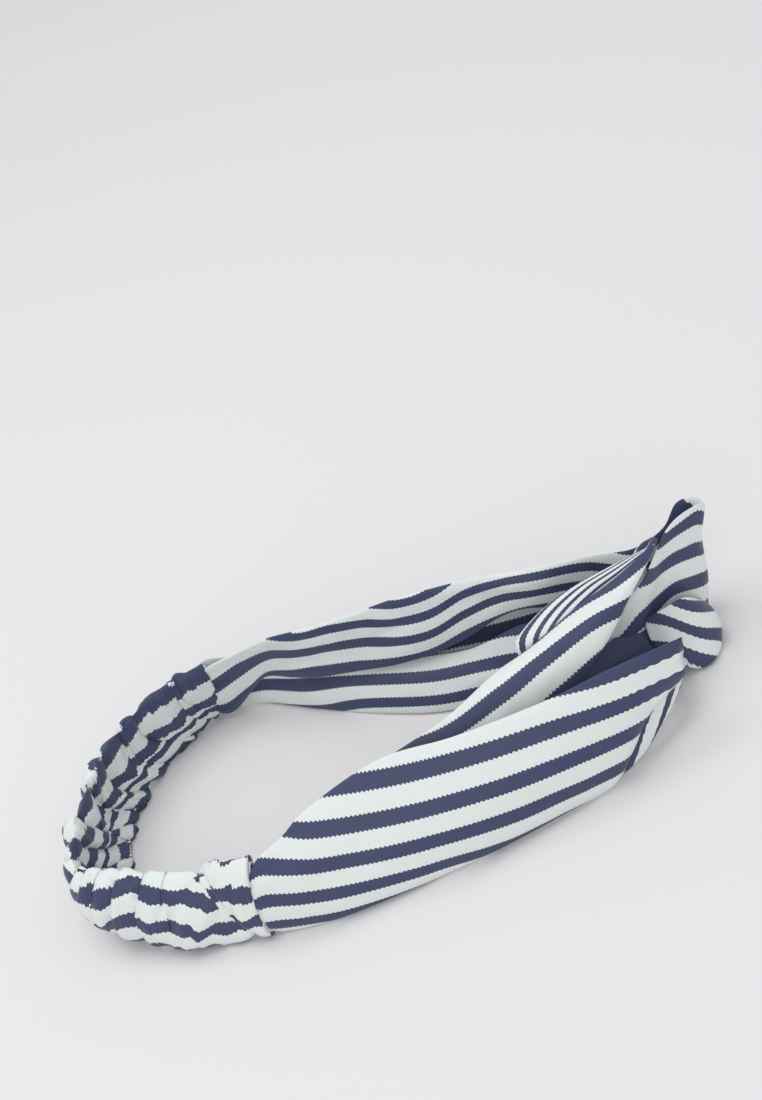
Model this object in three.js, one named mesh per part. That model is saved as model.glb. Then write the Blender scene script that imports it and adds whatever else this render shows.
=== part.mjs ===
// A twist-front headband of two hooked fabric loops and a gathered elastic back, lying on its edge.
// Millimetres, +Z up, the floor is z = 0. +X points to the twisted front and -X to the elastic back.
import * as THREE from "three";

// ---- Driving dimensions ----
const FLOOR = 0;
const LOOP_SIDE_STEPS = 8; // divisions from one folded edge of a loop to the other
const LOOP_STEPS = 2; // rings between two stations of a loop
const SLEEVE_SIDE_STEPS = 8;
const SLEEVE_STEPS = 4; // rings between two stations of the sleeve
const SLEEVE_THICKNESS = 9; // over the gathers, through both plies and the elastic
const GATHER_DEPTH = 0.7; // rise and fall of the gathers along the sleeve
const CHANNEL_THICKNESS = 3.4; // hollow inside the sleeve
const CHANNEL_MARGIN = 0.08; // share of the sleeve's width taken by the fold at each edge
const ELASTIC_THICKNESS = 1;
const ELASTIC_MARGIN = 0.13; // share of the sleeve's width left free at each edge of the elastic
const ELASTIC_END = 0.12; // stations from the sleeve's mouth to the end of the elastic
const THREAD_RADIUS = 0.2;
const THREAD_SIDES = 6;
const THREAD_OFFSET = 1.08; // from the sleeve's middle surface: between the elastic and the fabric
const SLEEVE_SEAM_ACROSS = 0.34; // where the long seam lies on the inner face, from the lower edge up
const SEAM_END = 0.3; // stations from the sleeve's mouth to the end of the long seam
const JOIN_RADIUS = 0.3; // cord of stitches that closes the sleeve's mouth on the loops
const JOIN_GAP = 0.7; // from the sleeve's mouth to the middle of that cord
const JOIN_SINK = 1.2; // from the sleeve's outer face in to the cord
const JOIN_MARGIN = 0.06; // share of the sleeve's width left free of the cord at each edge
const JOIN_LIFT = 0.5; // lowest height of the cord's middle
const TACK_ROWS = 5; // passes of the zigzag that holds each end of the elastic
const TACK_PITCH = 1.4;
const TACK_CLIMBS = 4; // stitches in one pass
const TACK_LOW = 0.25; // reach of a pass across the sleeve
const TACK_HIGH = 0.75;
const TACK_PLACE = 0.2; // stations from the sleeve's mouth to the first pass
const STATION_LENGTH = 12; // about the distance between two stations of the sleeve

// ---- The course of each band ----
// Each station is one place along a band: the edge that is lower at the start of the band, the
// middle of its width, the other edge, and the thickness there.
const station = (lower, middle, upper, thickness) => ({ lower, middle, upper, thickness });

const FLAT = 2.6; // a loop lying flat, with air between its two plies
const BUNCHED = 4.6; // the same loop drawn together inside the twist

// From the near join along the outside, round the right end, up through the far loop and back.
const NEAR_LOOP = [
  station([-53, -41, -1.5], [-53, -41.5, 13], [-50, -37.5, 27.5], FLAT),
  station([-33, -46, -1.5], [-32, -44, 15], [-30.5, -32.8, 32.5], FLAT),
  station([-5, -48, -1.5], [-6, -46, 17], [-6.5, -32, 36.5], FLAT),
  station([15, -48, -1.5], [20, -47, 18], [16, -36, 36], FLAT),
  station([35, -47, -1.5], [44, -47, 18], [43, -39, 36], FLAT),
  station([57, -45, 0], [72, -42, 17], [76, -35, 34.5], FLAT),
  station([67, -38, 1], [84, -35, 14], [87, -33, 30], 3),
  station([77, -26, 3.5], [82.5, -25, 9], [86.5, -24, 15], BUNCHED),
  station([79, -12, 3], [84, -12, 3], [89, -13, 4], BUNCHED),
  station([79, 0, 6], [85, 1, 5.5], [91, 0, 7], BUNCHED),
  station([79, 4, 22], [84.5, 4.5, 22], [89, 4, 22], 4),
  station([86, 4.5, 32], [89, 4.8, 33], [92, 4.5, 32.5], FLAT),
  station([91.6, 1.5, 38.5], [93, 1.2, 39.5], [94.2, 1, 38.7], 2),
  station([92, -1.8, 41.2], [93, -2, 41.4], [93.8, -2.4, 40.8], 2),
  station([87.4, -6.2, 41.4], [87.5, -8.2, 41.2], [86.4, -10, 39.6], 2),
  station([76, -9.8, 40], [77.5, -13, 39.8], [78.7, -15.8, 37], FLAT),
  station([62, -12, 38], [64.5, -18, 38], [66, -24.5, 32], 3),
  station([47, -16, 36.5], [48, -23, 35.5], [51, -29, 26.5], FLAT),
  station([34, -18, 35], [33, -25.5, 31.5], [35, -31, 23], FLAT),
  station([15, -23.5, 32.5], [13, -30, 25], [14, -35, 14], FLAT),
  station([-8, -25.5, 29.5], [-8, -31, 18], [-6, -37, 5], FLAT),
  station([-31, -28.5, 25], [-32, -33, 15], [-32, -38, 3], FLAT),
  station([-49.5, -34, 24], [-53, -36.5, 14], [-53, -37, 2], FLAT),
];

// From the far join along the inside, behind the twist, round its right edge and back underneath.
const FAR_LOOP = [
  station([-46, 59, 2], [-46, 57, 14], [-45, 54, 27], FLAT),
  station([-31, 53, 14], [-27, 49, 24], [-25, 45, 34], FLAT),
  station([-15, 41, 14], [-8, 38.5, 25], [-4, 36.5, 36], FLAT),
  station([9, 29, 15], [14, 30, 27], [18, 30, 38], FLAT),
  station([32, 21, 17], [35, 22.5, 28], [39, 22, 39], FLAT),
  station([55, 14, 22], [56, 14, 31], [58, 15, 38], 3),
  station([72, 12, 14], [72, 12, 26], [75, 11, 36], 3),
  station([86, 11, 3], [86, 10.5, 20], [88, 10, 31.7], FLAT),
  station([97, 10, 1], [98, 10.5, 19], [98.8, 10.5, 33], 2.2),
  station([100, 7.5, 1], [103.5, 9.5, 20.5], [105.3, 10.3, 40], 2.2),
  station([101.5, 3.5, 1], [106.3, 6.5, 21], [111.8, 8, 41], 2.2),
  station([100.5, 0, 1], [104.8, 3.4, 21], [112.5, 4.5, 40.4], 2.2),
  station([97.2, -2, 1], [101.6, 1.6, 21.3], [109.2, 3, 42.2], 2.2),
  station([89.5, -3.5, 12], [94, -1, 27], [99.1, 1.4, 40.2], 2.2),
  station([78.6, -7, 14], [80.5, -7.8, 23], [82.5, -8, 32], 2.4),
  station([68, -5, 13], [67, -5, 21], [66, -3, 29], FLAT),
  station([48, 6, -0.5], [48, 8.5, 10.5], [48, 13, 20.5], 3),
  station([15, 17, -1.5], [16, 21, 7.5], [17, 29, 12.5], FLAT),
  station([-4, 30, -1.5], [-4, 34, 8], [-5, 42.5, 15], FLAT),
  station([-18, 42, -1.5], [-18.5, 45.5, 8], [-20, 52, 16], FLAT),
  station([-34, 57, -1.5], [-34, 60, 8], [-34, 62, 17], FLAT),
  station([-46, 65, -1], [-46, 63, 13], [-45, 59, 26], FLAT),
];

// From the far join round the elastic back to the near join.
const SLEEVE = [
  station([-48, 63, -2], [-48, 60.5, 13], [-47, 56, 27], SLEEVE_THICKNESS),
  station([-57, 59.5, -2], [-60, 58, 13], [-56, 54.5, 28], SLEEVE_THICKNESS),
  station([-68, 52, -2], [-72.5, 52, 13], [-67, 50.5, 28.5], SLEEVE_THICKNESS),
  station([-79, 42.5, -2], [-84.5, 42.5, 13], [-78, 43.3, 28.5], SLEEVE_THICKNESS),
  station([-86.5, 30, -2], [-94, 31.5, 13], [-87, 33.3, 28.5], SLEEVE_THICKNESS),
  station([-90.5, 17, -2], [-99.5, 18, 13], [-94.5, 21, 28], SLEEVE_THICKNESS),
  station([-93.5, 4, -2], [-103.5, 4, 13], [-100.5, 8, 27.5], SLEEVE_THICKNESS),
  station([-96, -7, -2], [-103.5, -8, 13], [-102, -4, 27], SLEEVE_THICKNESS),
  station([-92, -17, -2], [-97, -17.5, 13], [-93, -12.5, 27], SLEEVE_THICKNESS),
  station([-82, -27, -2], [-84, -27, 13], [-80, -21, 26.5], SLEEVE_THICKNESS),
  station([-69, -34, -2], [-70, -34, 13], [-66.5, -29, 26.5], SLEEVE_THICKNESS),
  station([-56, -39, -2], [-56, -39, 13], [-52, -35.5, 28.5], SLEEVE_THICKNESS),
];

// ---- Surfaces ----
// A band is read by two numbers: `along` counts stations from the start, `across` runs from the
// lower edge (0) to the upper edge (1).
function bandThrough(stations) {
  const last = stations.length - 1;
  const railOf = (edge) =>
    new THREE.CatmullRomCurve3(stations.map((stop) => new THREE.Vector3(...stop[edge])));
  const rails = ["lower", "middle", "upper"].map(railOf);
  const middleSurface = (along, across) => {
    const [lower, middle, upper] = rails.map((rail) => rail.getPoint(along / last));
    return lower
      .multiplyScalar((2 * across - 1) * (across - 1))
      .addScaledVector(middle, 4 * across * (1 - across))
      .addScaledVector(upper, across * (2 * across - 1));
  };
  const normal = (along, across) => {
    const step = 0.02; // a short way to each side, along and across
    const before = Math.max(along - step, 0);
    const after = Math.min(along + step, last);
    const onward = middleSurface(after, across).sub(middleSurface(before, across));
    const low = Math.max(across - step, 0);
    const high = Math.min(across + step, 1);
    const upward = middleSurface(along, high).sub(middleSurface(along, low));
    return onward.cross(upward).normalize();
  };
  const thickness = (along) => {
    const i = Math.min(Math.floor(along), last - 1);
    return THREE.MathUtils.lerp(stations[i].thickness, stations[i + 1].thickness, along - i);
  };
  const offset = (along, across, distance) =>
    middleSurface(along, across).addScaledVector(normal(along, across), distance);
  return { last, offset, thickness };
}

// Half the thickness of a flattened tube: full in the middle, closing to a fold at both edges.
const foldedEdge = (across) => Math.sqrt(1 - (2 * across - 1) ** 4);

// Places across a band, closer together at its two edges.
function placesAcross(steps, margin = 0) {
  const share = (i) => (1 - Math.cos((Math.PI * i) / steps)) / 2;
  return Array.from({ length: steps + 1 }, (_, i) => margin + (1 - 2 * margin) * share(i));
}

// One closed outline round a band: up one face, down the other, the edge points shared.
function outline(band, along, places, halfThickness) {
  const up = places.map((across) => band.offset(along, across, halfThickness(along, across)));
  const inner = places.slice(1, -1);
  const down = inner.map((across) => band.offset(along, across, -halfThickness(along, across)));
  return [...up, ...down.reverse()].map((point) => point.setZ(Math.max(point.z, FLOOR)));
}

// ---- Solids ----
// Collects points and triangles; `mesh` turns them into a named piece.
class Shell {
  constructor() {
    this.points = [];
    this.faces = [];
  }
  addRing(ring) {
    const first = this.points.length;
    this.points.push(...ring);
    return ring.map((_, i) => first + i);
  }
  joinRings(a, b, closed = true) {
    const count = closed ? a.length : a.length - 1;
    for (let i = 0; i < count; i++) {
      const j = (i + 1) % a.length;
      this.faces.push(a[i], a[j], b[j], a[i], b[j], b[i]);
    }
  }
  // Closes a flat outline whose first half runs up one face and whose second half runs back down.
  capRing(ring, flipped) {
    const half = ring.length / 2;
    for (let i = 0; i < half; i++) {
      const a = ring[i];
      const b = ring[i + 1];
      const c = ring[(ring.length - i - 1) % ring.length];
      const d = ring[(ring.length - i) % ring.length];
      if (i > 0) this.faces.push(...(flipped ? [a, c, d] : [a, d, c]));
      if (i < half - 1) this.faces.push(...(flipped ? [a, b, c] : [a, c, b]));
    }
  }
  mesh(name, material) {
    const geometry = new THREE.BufferGeometry().setFromPoints(this.points);
    geometry.setIndex(this.faces);
    geometry.computeVertexNormals();
    const piece = new THREE.Mesh(geometry, material);
    piece.name = name;
    return piece;
  }
}

const ringsAlong = (band, steps, from = 0, to = band.last) => {
  const count = Math.round((to - from) * steps);
  return Array.from({ length: count + 1 }, (_, i) => from + ((to - from) * i) / count);
};

// A solid strip of the band, closed at both ends.
function solidBand(name, material, band, places, halfThickness, stops) {
  const shell = new Shell();
  const rings = stops.map((along) => shell.addRing(outline(band, along, places, halfThickness)));
  rings.slice(1).forEach((ring, i) => shell.joinRings(ring, rings[i]));
  shell.capRing(rings[0], true);
  shell.capRing(rings.at(-1), false);
  return shell.mesh(name, material);
}

// A tube of the band, open at both ends.
function hollowBand(name, material, band, outer, inner, stops) {
  const shell = new Shell();
  const wall = ({ places, half }) =>
    stops.map((along) => shell.addRing(outline(band, along, places, half)));
  const skins = wall(outer);
  const linings = wall(inner);
  skins.slice(1).forEach((ring, i) => shell.joinRings(ring, skins[i]));
  linings.slice(1).forEach((ring, i) => shell.joinRings(linings[i], ring));
  shell.joinRings(skins[0], linings[0]);
  shell.joinRings(linings.at(-1), skins.at(-1));
  return shell.mesh(name, material);
}

// Any direction that no cord runs along, to turn a cord's rings by.
const CORD_UP = new THREE.Vector3(0.31, 0.17, 0.94);

// A round cord along a row of points; a closed cord joins its last point to its first.
function cord(name, material, points, radius, closed = false) {
  const shell = new Shell();
  const count = points.length;
  const at = (i) => points[closed ? (i + count) % count : THREE.MathUtils.clamp(i, 0, count - 1)];
  const rings = points.map((point, i) => {
    const ahead = at(i + 1).clone().sub(at(i - 1)).normalize();
    const side = ahead.clone().cross(CORD_UP).normalize();
    const top = side.clone().cross(ahead);
    const ring = Array.from({ length: THREAD_SIDES }, (_, k) => {
      const turn = (2 * Math.PI * k) / THREAD_SIDES;
      return point
        .clone()
        .addScaledVector(side, radius * Math.cos(turn))
        .addScaledVector(top, radius * Math.sin(turn));
    });
    return shell.addRing(ring);
  });
  rings.slice(1).forEach((ring, i) => shell.joinRings(ring, rings[i]));
  if (closed) {
    shell.joinRings(rings[0], rings.at(-1));
  } else {
    shell.capRing(rings[0], true);
    shell.capRing(rings.at(-1), false);
  }
  return shell.mesh(name, material);
}

// ---- Materials ----
const stripedFabric = new THREE.MeshStandardMaterial({ color: 0x999eac, roughness: 0.5, metalness: 0 });
const rubber = new THREE.MeshStandardMaterial({ color: 0xe9e8e2, roughness: 0.8, metalness: 0 });
const thread = new THREE.MeshStandardMaterial({ color: 0xf2f2ee, roughness: 0.7, metalness: 0 });

// ---- The pieces ----
function loopPiece(name, stations) {
  const band = bandThrough(stations);
  const half = (along, across) => (band.thickness(along) / 2) * foldedEdge(across);
  const places = placesAcross(LOOP_SIDE_STEPS);
  return solidBand(name, stripedFabric, band, places, half, ringsAlong(band, LOOP_STEPS));
}

const sleeveBand = bandThrough(SLEEVE);
const sleeveStops = ringsAlong(sleeveBand, SLEEVE_STEPS);

function sleevePiece() {
  const gathers = (along) => GATHER_DEPTH * Math.cos(Math.PI * along * SLEEVE_STEPS);
  const atMouth = (along) => along === 0 || along === sleeveBand.last;
  const skin = {
    places: placesAcross(SLEEVE_SIDE_STEPS),
    half: (along, across) =>
      (SLEEVE_THICKNESS / 2 + (atMouth(along) ? 0 : gathers(along))) * foldedEdge(across),
  };
  const lining = {
    places: placesAcross(SLEEVE_SIDE_STEPS, CHANNEL_MARGIN),
    half: (along, across) => {
      const inside = (across - CHANNEL_MARGIN) / (1 - 2 * CHANNEL_MARGIN);
      return (CHANNEL_THICKNESS / 2) * foldedEdge(THREE.MathUtils.clamp(inside, 0, 1));
    },
  };
  return hollowBand("elastic_sleeve", stripedFabric, sleeveBand, skin, lining, sleeveStops);
}

function elasticPiece() {
  const places = placesAcross(SLEEVE_SIDE_STEPS * 2, ELASTIC_MARGIN);
  const isEdge = (across) => across === places[0] || across === places.at(-1);
  const half = (_, across) => (isEdge(across) ? 0 : ELASTIC_THICKNESS / 2);
  const stops = ringsAlong(sleeveBand, SLEEVE_STEPS, ELASTIC_END, sleeveBand.last - ELASTIC_END);
  return solidBand("elastic_strip", rubber, sleeveBand, places, half, stops);
}

function sleeveSeam() {
  const stops = ringsAlong(sleeveBand, SLEEVE_STEPS, SEAM_END, sleeveBand.last - SEAM_END);
  const row = stops.map((along) => sleeveBand.offset(along, SLEEVE_SEAM_ACROSS, -THREAD_OFFSET));
  return cord("sleeve_seam_thread", thread, row, THREAD_RADIUS);
}

// The zigzag of thread across one end of the elastic, on its outer face.
function elasticTack(name, from, direction) {
  const row = [];
  for (let pass = 0; pass < TACK_ROWS; pass++) {
    for (let i = 0; i <= TACK_CLIMBS; i++) {
      const climbed = i / TACK_CLIMBS;
      const across = THREE.MathUtils.lerp(TACK_LOW, TACK_HIGH, pass % 2 ? 1 - climbed : climbed);
      const walked = TACK_PITCH * (pass + i / (TACK_CLIMBS + 1));
      const along = from + (direction * walked) / STATION_LENGTH;
      row.push(sleeveBand.offset(along, across, THREAD_OFFSET));
    }
  }
  return cord(name, thread, row, THREAD_RADIUS);
}

// The cord of stitches round the sleeve's mouth, between the sleeve and the ends of the loop.
function joinStitches(name, along, outward) {
  const half = (_, across) => (SLEEVE_THICKNESS / 2 - JOIN_SINK) * foldedEdge(across);
  const step = 0.1; // a short way back into the sleeve
  const mouth = sleeveBand.offset(along, 0.5, 0);
  const before = sleeveBand.offset(along - outward * step, 0.5, 0);
  const shift = mouth.sub(before).setZ(0).normalize().multiplyScalar(JOIN_GAP);
  const places = placesAcross(SLEEVE_SIDE_STEPS, JOIN_MARGIN);
  const row = outline(sleeveBand, along, places, half).map((point) => point.add(shift));
  row.forEach((point) => point.setZ(Math.max(point.z, FLOOR + JOIN_LIFT)));
  return cord(name, thread, row, JOIN_RADIUS, true);
}

// ---- Assembly ----
const front = new THREE.Group();
front.name = "twisted_front";
front.add(
  loopPiece("near_loop", NEAR_LOOP),
  loopPiece("far_loop", FAR_LOOP),
  joinStitches("near_join_stitches", sleeveBand.last, 1),
  joinStitches("far_join_stitches", 0, -1),
);

const back = new THREE.Group();
back.name = "elastic_back";
back.add(
  sleevePiece(),
  elasticPiece(),
  sleeveSeam(),
  elasticTack("far_elastic_tack", TACK_PLACE, 1),
  elasticTack("near_elastic_tack", sleeveBand.last - TACK_PLACE, -1),
);

// The origin is under the middle of the whole band.
const band = new THREE.Group();
band.add(front, back);
const box = new THREE.Box3().setFromObject(band, true);
const centre = box.getCenter(new THREE.Vector3());
band.position.set(-centre.x, -centre.y, -box.min.z);

const headband = new THREE.Group();
headband.name = "twist_headband";
headband.add(band);

export default headband;
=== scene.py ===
import math

import bpy
import numpy as np
from mathutils import Matrix, Vector


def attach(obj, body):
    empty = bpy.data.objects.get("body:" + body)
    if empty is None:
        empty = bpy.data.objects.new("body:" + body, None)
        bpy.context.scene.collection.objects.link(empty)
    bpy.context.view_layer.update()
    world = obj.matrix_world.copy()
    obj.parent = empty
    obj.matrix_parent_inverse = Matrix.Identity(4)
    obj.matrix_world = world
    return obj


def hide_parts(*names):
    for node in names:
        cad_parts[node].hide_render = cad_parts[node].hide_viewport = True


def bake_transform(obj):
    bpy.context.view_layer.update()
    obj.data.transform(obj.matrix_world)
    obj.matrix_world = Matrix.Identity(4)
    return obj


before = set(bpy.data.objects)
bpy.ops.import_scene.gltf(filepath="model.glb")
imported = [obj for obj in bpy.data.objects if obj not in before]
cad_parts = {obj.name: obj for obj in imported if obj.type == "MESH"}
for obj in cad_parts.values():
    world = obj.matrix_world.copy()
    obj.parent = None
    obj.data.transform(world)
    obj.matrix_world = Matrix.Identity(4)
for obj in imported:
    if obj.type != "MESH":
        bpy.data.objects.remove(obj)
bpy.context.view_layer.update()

# ---------------------------------------------------------------- units and place
# The courses of the bands are written in millimetres in the band's own plan. The frame is in
# metres, with its origin under the middle of the whole band.
MM = 0.001
PLAN_SHIFT = np.array([-1.40, -8.08, 0.0])
FLOOR_GAP = 0.05         # lowest cloth above the floor (mm)


def to_frame(points):
    return (np.asarray(points, float) + PLAN_SHIFT) * MM


# ---------------------------------------------------------------- driving dimensions (mm)
STRIPE_PITCH = 10.8      # one navy and one white stripe
NAVY_SHARE = 0.45        # part of the pitch that is navy
TOOTH_PITCH = 1.35       # the woven edge of a stripe steps in and out
TOOTH_DEPTH = 0.21       # either side of the stripe's mean edge
LOOP_RING = 0.9          # mesh rings along a loop
SLEEVE_RING = 0.5        # mesh rings along the gathered sleeve
LOOP_FACE_STEPS = 44     # mesh steps from the lower to the upper edge of a loop
SLEEVE_WIDTH = 30.0
SLEEVE_HALF = 3.9        # half of the gathered sleeve's thickness
LINING_HALF = 1.6        # half of the hollow inside it
THREAD_RADIUS = 0.2
THREAD_TWIST = 2.6       # radians that the plies of a thread turn in a millimetre
MIDDLE = 0.5             # half way from a band's lower edge to its upper one


# ---------------------------------------------------------------- smooth numbers
def spline(values, t):
    """Catmull-Rom through evenly spaced stations, for any array of station counts t."""
    values = np.asarray(values, float)
    last = len(values) - 1
    t = np.clip(np.asarray(t, float), 0, last)
    i = np.minimum(t.astype(int), last - 1)
    f = (t - i).reshape(t.shape + (1,) * (values.ndim - 1))
    before, here, after, beyond = (values[np.clip(i + k, 0, last)] for k in (-1, 0, 1, 2))
    return 0.5 * (
        2 * here
        + (after - before) * f
        + (2 * before - 5 * here + 4 * after - beyond) * f * f
        + (3 * here - before - 3 * after + beyond) * f ** 3
    )


def smoothstep(x, low, high):
    x = np.clip((np.asarray(x, float) - low) / (high - low), 0, 1)
    return x * x * (3 - 2 * x)


def bump(x, centre, width):
    return np.exp(-(((np.asarray(x, float) - centre) / width) ** 2))


def noise(x, y, seed, octaves=2):
    """Smooth repeatable noise between about -1 and 1 on a plane."""
    size = 64
    table = np.random.default_rng(seed).uniform(-1, 1, (size, size))
    x, y = np.broadcast_arrays(np.asarray(x, float), np.asarray(y, float))
    total = np.zeros(x.shape)
    share = 1.0
    for _ in range(octaves):
        xi, yi = np.floor(x).astype(int), np.floor(y).astype(int)
        fx, fy = smoothstep(x - xi, 0, 1), smoothstep(y - yi, 0, 1)
        near, far = yi % size, (yi + 1) % size
        low = table[xi % size, near] * (1 - fx) + table[(xi + 1) % size, near] * fx
        high = table[xi % size, far] * (1 - fx) + table[(xi + 1) % size, far] * fx
        total = total + share * (low * (1 - fy) + high * fy)
        x, y, share = x * 2.03 + 11.7, y * 2.03 + 5.3, share * 0.5
    return total


def unit(vectors):
    return vectors / np.maximum(np.linalg.norm(vectors, axis=-1, keepdims=True), 1e-9)


# ---------------------------------------------------------------- bands of cloth
class Band:
    """A flattened tube of cloth that runs through stations. Each station holds its lower edge, the
    middle of its width, its upper edge, the thickness over both plies, and the count of stripes at
    those three places. `t` counts stations, `w` runs from the lower edge (0) to the upper (1)."""

    def __init__(self, stations):
        self.rails = [np.array([s[k] for s in stations], float) for k in range(3)]
        self.thick = np.array([s[3] for s in stations], float)
        self.stripes = [np.array([s[4][k] for s in stations], float) for k in range(3)]
        self.last = len(stations) - 1

    def across(self, low, middle, high, w):
        return low * (2 * w - 1) * (w - 1) + middle * 4 * w * (1 - w) + high * w * (2 * w - 1)

    def surface(self, t, w):
        rails = (spline(rail, t) for rail in self.rails)
        return self.across(*rails, np.asarray(w, float)[..., None])

    def stripe(self, t, w):
        return self.across(*(spline(count, t) for count in self.stripes), w)

    def normal(self, t, w, step=0.02):
        onward = self.surface(t + step, w) - self.surface(t - step, w)
        upward = self.surface(t, np.minimum(w + step, 1)) - self.surface(t, np.maximum(w - step, 0))
        return unit(np.cross(onward, upward))

    def stops(self, start, end, spacing):
        """Station counts at even steps along the cloth, and the length reached at each (mm)."""
        fine = np.linspace(start, end, 2000)
        path = self.surface(fine, np.full(fine.shape, MIDDLE))
        steps = np.linalg.norm(np.diff(path, axis=0), axis=1)
        length = np.concatenate([[0], np.cumsum(steps)])
        count = max(int(length[-1] / spacing), 8)
        even = np.linspace(0, length[-1], count + 1)
        return np.interp(even, length, fine), even


def folded_edge(w, flatness=3.2):
    """Share of its full thickness a band has at w: 1 in the middle, rounded off to 0 at both edges."""
    return np.sqrt(np.clip(1 - np.abs(2 * w - 1) ** flatness, 0, 1))


def cosine_places(count):
    """Places across a band from 0 to 1, closer together at its two edges."""
    return (1 - np.cos(np.linspace(0, np.pi, count + 1))) / 2


def both_faces(count):
    """Places up the first face of a band and back down its second, and the side each is on."""
    up = cosine_places(count)
    side = np.concatenate([[0], np.ones(count - 1), [0], -np.ones(count - 1)])
    return np.concatenate([up, up[-2:0:-1]]), side


def kept_off_floor(points, gap=FLOOR_GAP):
    points[..., 2] = np.maximum(points[..., 2], gap)
    return points


def closed_skin(name, rings, cloth, ends="capped"):
    """A mesh from rings of points, with its cloth map: u in millimetres along, v in stripes.
    `cloth` has one column more than the rings, so the map may jump where a ring closes. The first
    and last rings are capped, or joined to each other."""
    count, around = rings.shape[:2]
    here = np.arange(count if ends == "joined" else count - 1)
    following = (here + 1) % count
    i = np.arange(around)[None, :]
    j = (i + 1) % around
    first, second = here[:, None] * around, following[:, None] * around
    corners = (first + i, second + i, second + j, first + j)
    quads = np.stack(np.broadcast_arrays(*corners), -1).reshape(-1, 4).tolist()
    last = (count - 1) * around
    caps = [list(range(around)), list(range(last, last + around))[::-1]] if ends == "capped" else []
    mesh = bpy.data.meshes.new(name)
    mesh.from_pydata(to_frame(rings.reshape(-1, 3)).tolist(), [], quads + caps)
    uv = mesh.uv_layers.new(name="cloth")
    near, far = cloth[here], cloth[following]
    flat = np.stack((near[:, :-1], far[:, :-1], far[:, 1:], near[:, 1:]), 2).reshape(-1, 2)
    flat = np.concatenate([flat, np.zeros((around * len(caps), 2))])
    uv.data.foreach_set("uv", flat.astype(np.float32).ravel())
    mesh.polygons.foreach_set("use_smooth", np.ones(len(mesh.polygons), bool))
    mesh.update()
    obj = bpy.data.objects.new(name, mesh)
    bpy.context.scene.collection.objects.link(obj)
    return obj


def loop_cloth(
    name, stations, creases, reach=None, rounded_end=0.0, across=LOOP_FACE_STEPS, matched=False
):
    """One band of loop cloth, closed all round: up the first face and back down the second.
    `reach` draws its last stations onward, and `rounded_end` thins its last millimetres. On a
    `matched` band both faces show the same stripes at the same height."""
    band = Band(stations)
    t_row, along = band.stops(0, band.last, LOOP_RING)
    w_row, side = both_faces(across)
    t, w = np.meshgrid(t_row, w_row, indexing="ij")
    half = spline(band.thick, t) / 2 * folded_edge(w)
    if rounded_end:
        x = np.clip(1 - (along[-1] - along) / rounded_end, 0, 1)
        half = half * np.sqrt(1 - x * x)[:, None]
    lift = creases(along[:, None], w, along[-1])
    points = band.surface(t, w) + band.normal(t, w) * (half * side + lift)[..., None]
    if reach:
        onward = unit(band.surface(t, w) - band.surface(t - 0.1, w))
        points = points + onward * reach(t, w)[..., None]
    # the second face carries on counting stripes past the upper edge, or matches the first one
    first = band.stripe(t_row[:, None], cosine_places(across)[None, :])
    second = first[:, ::-1] if matched else 2 * first[:, -1:] - first[:, ::-1]
    stripes = np.concatenate([first, second[:, 1:]], axis=1)
    u = np.broadcast_to(along[:, None], stripes.shape)
    return closed_skin(name, kept_off_floor(points), np.stack([u, stripes], -1))


SOFT_FOLD = 26           # length of the long soft folds of a loop (mm)
WRINKLE = 7              # length of its small wrinkles (mm)
WRINKLE_SHARE = 0.22     # their depth, as a share of the soft folds' depth
PUCKER_REACH = 9.0       # how far the puckers of a seam run into the cloth (mm)


def creases(depth, seed, seam_at=(), seam_depth=0.0):
    """Long soft folds and small wrinkles of a loop, with puckers that fan out from its seam."""
    def lift(along, w, length):
        inside = np.sqrt(np.clip(4 * w * (1 - w), 0, 1))
        soft = noise(along / SOFT_FOLD, w * 2.6, seed) * depth
        small = noise(along / WRINKLE, w * 6, seed + 1) * depth * WRINKLE_SHARE
        total = (soft + small) * inside
        for end in seam_at:
            away = along if end == "start" else length - along
            fan = noise(np.full_like(away, 3.1), w * 9, seed + 2) + 0.5 * np.sin(w * 31 + seed)
            total = total + seam_depth * fan * inside * np.exp(-((away / PUCKER_REACH) ** 2))
        return total
    return lift


# ---------------------------------------------------------------- courses of the loops
# The near loop's outer fold: from the near join along the outside to its loose right end.
NEAR_OUTER = [
    ((-58, -39.5, 3), (-58, -41, 13), (-54.5, -38, 24), 2.0, (-1.5, -0.2, 1.0)),
    ((-53, -41, 0.5), (-53, -42, 13), (-50, -37.3, 27.5), 2.6, (-1.6, -0.25, 1.2)),
    ((-43, -44, 0.3), (-43, -43.5, 14), (-41, -35.5, 29.6), 3.0, (-1.43, 0.15, 1.78)),
    ((-33, -46, 0.3), (-32, -44, 15), (-30.5, -32.8, 32.8), 3.2, (-1.24, 0.58, 2.58)),
    ((-5, -48, 0.3), (-6, -46, 17), (-6.5, -32, 37), 3.2, (-0.75, 1.27, 3.45)),
    ((15, -48, 0.3), (20, -47, 18), (16, -36, 36), 3.2, (-0.16, 1.7, 3.58)),
    ((35, -47, 0.4), (44, -47, 18), (43, -39, 36), 3.2, (0.07, 1.9, 3.75)),
    ((50, -46, 0.7), (60, -44, 17.5), (62.5, -37.5, 35), 3.0, (0.3, 2.15, 4.15)),
    ((55, -43.5, 2.5), (68, -39.5, 15), (85.5, -35.5, 32.3), 2.6, (0.4, 2.2, 4.18)),
]

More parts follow.
